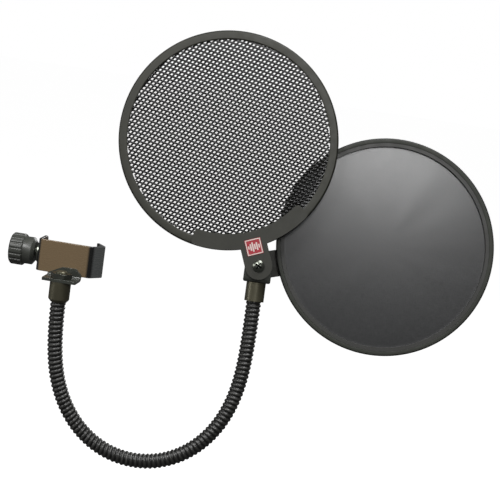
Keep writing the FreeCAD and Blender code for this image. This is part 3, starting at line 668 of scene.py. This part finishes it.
def make_fabric(material):
    """The stretched nylon: a slightly crowned disc with faint pulls from the ring."""
    radii = FABRIC_RADIUS * (np.arange(1, FABRIC_RINGS + 1) / FABRIC_RINGS)
    turn = around(FABRIC_SPOKES)
    rng = np.random.default_rng(PULL_SEED)
    waves = [(k, rng.uniform(0, 2 * math.pi), PULL_DEPTH / math.sqrt(k)) for k in range(2, 14)]
    pulls = sum(depth * np.cos(k * turn + phase) for k, phase, depth in waves)
    middle = np.array((0, 0, RING_OFFSET))
    points = [middle[None] + (0, SHEET_DEPTH + FABRIC_CROWN, 0)]
    for r in radii:
        share = (r / LIP_RADIUS) ** 2
        free = max(0.0, 1 - share)
        points.append(circle(r, SHEET_DEPTH + free * (FABRIC_CROWN + 2 * share * pulls), turn) + middle)
    faces = [(0, 1 + i, 1 + (i + 1) % FABRIC_SPOKES) for i in range(FABRIC_SPOKES)]
    faces += grid_faces(FABRIC_RINGS, FABRIC_SPOKES, first=1)
    points = np.concatenate(points)
    piece = new_piece("nylon_sheet", points, faces, [material], REAR)
    layer = piece.data.uv_layers.new(name="weave")
    flat = (points[:, (0, 2)] - (0, RING_OFFSET)) / (2 * FABRIC_RADIUS) + 0.5
    for loop in piece.data.loops:
        layer.data[loop.index].uv = flat[loop.vertex_index]
    solid = piece.modifiers.new("thickness", "SOLIDIFY")
    solid.thickness, solid.offset = FABRIC_THICKNESS * MM, 0.0
    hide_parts("fabric_screen")
    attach(piece, "rear_screen")


def fabric_material():
    """Fine plain-weave nylon: two sets of threads, slubs and a soft sheen."""
    n = Nodes("nylon_weave")
    bands_per_scale = 20 / (2 * math.pi)  # how many of its bands the wave texture fits in one unit

    def threads(direction):
        scale = FABRIC_RADIUS / THREAD_PITCH / bands_per_scale
        inputs = {"Vector": n.uv, "Scale": scale, "Distortion": 0.4, "Detail": 1.0, "Detail Scale": 1.5}
        return n.add("ShaderNodeTexWave", inputs, bands_direction=direction).outputs["Fac"]

    def slubs(*stretch):
        place = n.add("ShaderNodeMapping", {"Vector": n.uv, "Scale": stretch}).outputs["Vector"]
        return n.noise(26.0, 5.0, 0.6, place)

    warp, weft = threads("X"), threads("Y")
    crossings = n.math("MULTIPLY", warp, weft)
    uneven = n.math("ADD", slubs(1.0, 14.0, 1.0), slubs(14.0, 1.0, 1.0))
    streaks = n.spread(uneven, 0.0, 1.0, 0.75, 1.25)
    shade = n.ramp(streaks, (0.0, (0.008, 0.009, 0.009)), (1.0, (0.015, 0.015, 0.016)))
    n.set(Base_Color=n.mix(n.spread(crossings, 0.0, 0.6, 0.0, 1.0), shade, (0.022, 0.022, 0.024)))
    n.set(Roughness=n.spread(uneven, 0.30, 0.38, 0.75, 1.25))
    n.shader.inputs["Specular IOR Level"].default_value = 0.9
    n.shader.inputs["Sheen Weight"].default_value = 0.04
    n.shader.inputs["Sheen Roughness"].default_value = 0.4
    n.set(Normal=n.bump(n.math("MAXIMUM", warp, weft), 0.012 * MM, 0.5))
    return n.material


# ---------------------------------------------------------------- pivot screw

RECESS_RADIUS, RECESS_DEPTH, RECESS_FLOOR = 2.7, 2.2, 1.2  # the floor lies deeper than RECESS_FLOOR


def make_pivot_screw(steel):
    """The screw, with the walls and floor of its cross recess coloured black as painted shade."""
    piece = softened("pivot_screw", 0.1, steel)
    piece.data.materials.append(moulded("recess_painted_shade", (0.003, 0.003, 0.003), 0.7, specular=0.1))
    to_head = HEAD.inverted()
    front = min((to_head @ v.co).y for v in piece.data.vertices)
    turn = to_head.to_3x3()
    for face in piece.data.polygons:
        at, way = to_head @ face.center, (turn @ face.normal).normalized()
        depth = at.y - front
        in_recess = math.hypot(at.x, at.z) < RECESS_RADIUS and depth < RECESS_DEPTH
        is_wall, is_floor = abs(way.y) < 0.3, way.y < -0.9 and depth > RECESS_FLOOR
        # Painted shade: the recess walls and floor take the black material.
        if in_recess and (is_wall or is_floor):
            face.material_index = 1


# ---------------------------------------------------------------- badge

BADGE_SIZE, BADGE_THICKNESS = 11.3, 0.7
BADGE_FACE, BADGE_MIDDLE = -11.0, 13.7  # along the screen's Y and Z
BORDER_INSET, BORDER_WIDTH = 0.3, 0.7
PROUD, SUNK = 0.06, 0.2  # how far the pale border and bars stand out of the face and go into it
BAR_HEIGHTS = (2.2, 4.6, 6.6, 3.6, 5.4, 2.6)
BAR_WIDTH, BAR_PITCH = 1.0, 1.45
PLATE_CHAMFER, INLAY_CHAMFER = 0.12, 0.04


def make_badge():
    """A red enamelled plate with a pale border and sound-level bars."""
    points, faces, kinds = [], [], []

    def slab(x0, x1, z0, z1, y0, y1, kind, chamfer):
        """A thin block with its front edges cut off; z is from the badge's middle."""
        first = len(points)
        for y, inset in ((y1, 0), (y0 + chamfer, 0), (y0, chamfer)):
            left, right = x0 + inset, x1 - inset
            low, high = BADGE_MIDDLE + z0 + inset, BADGE_MIDDLE + z1 - inset
            points.extend([(left, y, low), (right, y, low), (right, y, high), (left, y, high)])
        made = grid_faces(3, 4, first=first)
        made += [tuple(first + i for i in range(4)), tuple(first + 8 + i for i in range(4))]
        faces.extend(made)
        kinds.extend([kind] * len(made))

    def inlay(x0, x1, z0, z1):
        slab(x0, x1, z0, z1, BADGE_FACE - PROUD, BADGE_FACE + SUNK, 1, INLAY_CHAMFER)

    half = BADGE_SIZE / 2
    slab(-half, half, -half, half, BADGE_FACE, BADGE_FACE + BADGE_THICKNESS, 0, PLATE_CHAMFER)
    outer, inner = half - BORDER_INSET, half - BORDER_INSET - BORDER_WIDTH
    inlay(-outer, outer, inner, outer)
    inlay(-outer, outer, -outer, -inner)
    inlay(-outer, -inner, -inner, inner)
    inlay(inner, outer, -inner, inner)
    for i, tall in enumerate(BAR_HEIGHTS):
        x = (i - (len(BAR_HEIGHTS) - 1) / 2) * BAR_PITCH
        inlay(x - BAR_WIDTH / 2, x + BAR_WIDTH / 2, -tall / 2, tall / 2)
    enamel = badge_material("badge_red", (0.27, 0.012, 0.022), 0.3)
    pale = badge_material("badge_pale", (0.52, 0.43, 0.40), 0.4)
    piece = new_piece("badge_plate", points, faces, [enamel, pale], FRONT, 20)
    piece.data.polygons.foreach_set("material_index", kinds)
    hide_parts("badge")
    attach(piece, "front_screen")


# ---------------------------------------------------------------- surroundings

ROOM_LIGHT, BACKDROP_LIGHT, FLOOR_LIGHT = 0.10, 1.0, 0.9
KEY_LIGHT, HIGH_LIGHT, TOP_LIGHT, SIDE_LIGHT, BACK_LIGHT = 14, 4.5, 12, 3, 5  # watts
FLOOR_SPAN, FLOOR_LEVEL = 12.0, -0.62  # metres


def make_room():
    """A dim even room that lights the object, and a white backdrop that only the camera sees."""
    world = bpy.data.worlds.new("studio")
    bpy.context.scene.world = world
    world.use_nodes = True
    tree = world.node_tree
    room, backdrop = tree.nodes["Background"], tree.nodes.new("ShaderNodeBackground")
    for background, strength in ((room, ROOM_LIGHT), (backdrop, BACKDROP_LIGHT)):
        background.inputs["Color"].default_value = (1, 1, 1, 1)
        background.inputs["Strength"].default_value = strength
    seen = tree.nodes.new("ShaderNodeLightPath").outputs["Is Camera Ray"]
    mixed = tree.nodes.new("ShaderNodeMixShader")
    for socket, source in zip(mixed.inputs, (seen, room.outputs[0], backdrop.outputs[0])):
        tree.links.new(source, socket)
    tree.links.new(mixed.outputs[0], tree.nodes["World Output"].inputs["Surface"])


def make_floor():
    n = Nodes("studio_floor")
    n.set(Base_Color=n.ramp(n.noise(3.0), (0.3, (0.90, 0.90, 0.90)), (0.7, (0.93, 0.93, 0.93))))
    n.shader.inputs["Roughness"].default_value = 0.9
    n.shader.inputs["Specular IOR Level"].default_value = 0.1
    n.shader.inputs["Emission Color"].default_value = (1, 1, 1, 1)
    n.shader.inputs["Emission Strength"].default_value = FLOOR_LIGHT
    corners = [(x * FLOOR_SPAN, y * FLOOR_SPAN, FLOOR_LEVEL) for x, y in ((-1, -1), (1, -1), (1, 1), (-1, 1))]
    floor = new_piece("studio_floor_plane", corners, [(0, 1, 2, 3)], [n.material])
    floor.visible_diffuse = floor.visible_glossy = False


def area_light(name, away, size, power):
    """A square soft box that shines at the object's middle, from away, in metres."""
    data = bpy.data.lights.new(name, "AREA")
    data.shape, data.size, data.energy = "SQUARE", size, power
    light = bpy.data.objects.new(name, data)
    bpy.context.scene.collection.objects.link(light)
    light.location = (cad_box[0] + cad_box[1]) / 2 + away
    light.rotation_mode = "QUATERNION"
    light.rotation_quaternion = (-away).to_track_quat("-Z", "Y")


def make_surroundings():
    bpy.context.scene.view_settings.view_transform = "Standard"
    make_room()
    make_floor()
    area_light("key", -BACK + UP * 0.8 - RIGHT * 0.6, 0.5, KEY_LIGHT)
    area_light("high", -BACK + UP * 0.34 + RIGHT * 0.16, 0.3, HIGH_LIGHT)
    area_light("top", -BACK * 0.35 + UP * 1.1 + RIGHT * 0.3, 0.5, TOP_LIGHT)
    area_light("left", -BACK * 0.3 - RIGHT * 1.1 + UP * 0.1, 0.4, SIDE_LIGHT)
    area_light("back", BACK * 1.1 + UP * 0.6 + RIGHT * 0.4, 0.6, BACK_LIGHT)


# ---------------------------------------------------------------- assembly


def dress_hardware():
    """The clamp, hinge and arms: the CAD shapes with rounded edges or with better materials."""
    gloss = metal("gloss_black", (0.035, 0.038, 0.032), 0.22, metallic=0.1, coat=0.4)
    dark = metal("dark_steel", (0.17, 0.18, 0.155), 0.28)
    gunmetal = metal("gunmetal", (0.075, 0.070, 0.046), 0.36, metallic=0.6)
    knob = moulded("knob_plastic", (0.035, 0.037, 0.032), 0.36)
    rubber = moulded("pad_rubber", (0.03, 0.03, 0.03), 0.75, grain=0.6, depth=0.05, specular=0.3)
    fibre = moulded("washer_fibre", (0.05, 0.05, 0.05), 0.7, grain=0.5, depth=0.04, specular=0.3)
    plastic = moulded("arm_plastic", (0.020, 0.020, 0.015), 0.48, specular=0.35)
    inner = moulded("retaining_plastic", (0.02, 0.02, 0.018), 0.5)
    softened("clamp_bracket", 0.35, plate_material())
    softened("ear_bracket", 0.3, gloss)
    softened("yoke", 0.35, gloss)
    softened("front_arm", 0.3, plastic)
    softened("rear_arm", 0.3, plastic)
    softened("knob", 0.3, knob)
    make_pivot_screw(dark)
    softened("stud_nut", 0.2, dark)
    for material, nodes in (
        (dark, ("weld_nut", "yoke_nut", "pivot_nut", "pivot_washer", "pivot_sleeve", "clamp_screw")),
        (gunmetal, ("lower_ferrule", "upper_ferrule")),
        (rubber, ("pressure_pad",)),
        (fibre, ("front_friction_washer", "rear_friction_washer")),
        (inner, ("front_retaining_ring", "rear_retaining_ring")),
    ):
        for node in nodes:
            repaint(node, material)


def dress():
    dress_hardware()
    front_centre, rear_centre = box_centre("front_frame"), box_centre("rear_frame")
    make_ring("front", FRONT, ring_material("front_frame_plastic", front_centre, (0.022, 0.022, 0.016)))
    # The rear frame is the same plastic as the front one, coloured darker as painted shade.
    make_ring("rear", REAR, ring_material("rear_frame_plastic_shaded", rear_centre, (0.014, 0.016, 0.011)))
    make_neck(neck_material())
    make_mesh(metal("mesh_paint", (0.003, 0.003, 0.003), 0.17, metallic=0.0, peel=0.005))
    make_fabric(fabric_material())
    make_badge()


make_camera()
dress()
make_surroundings()
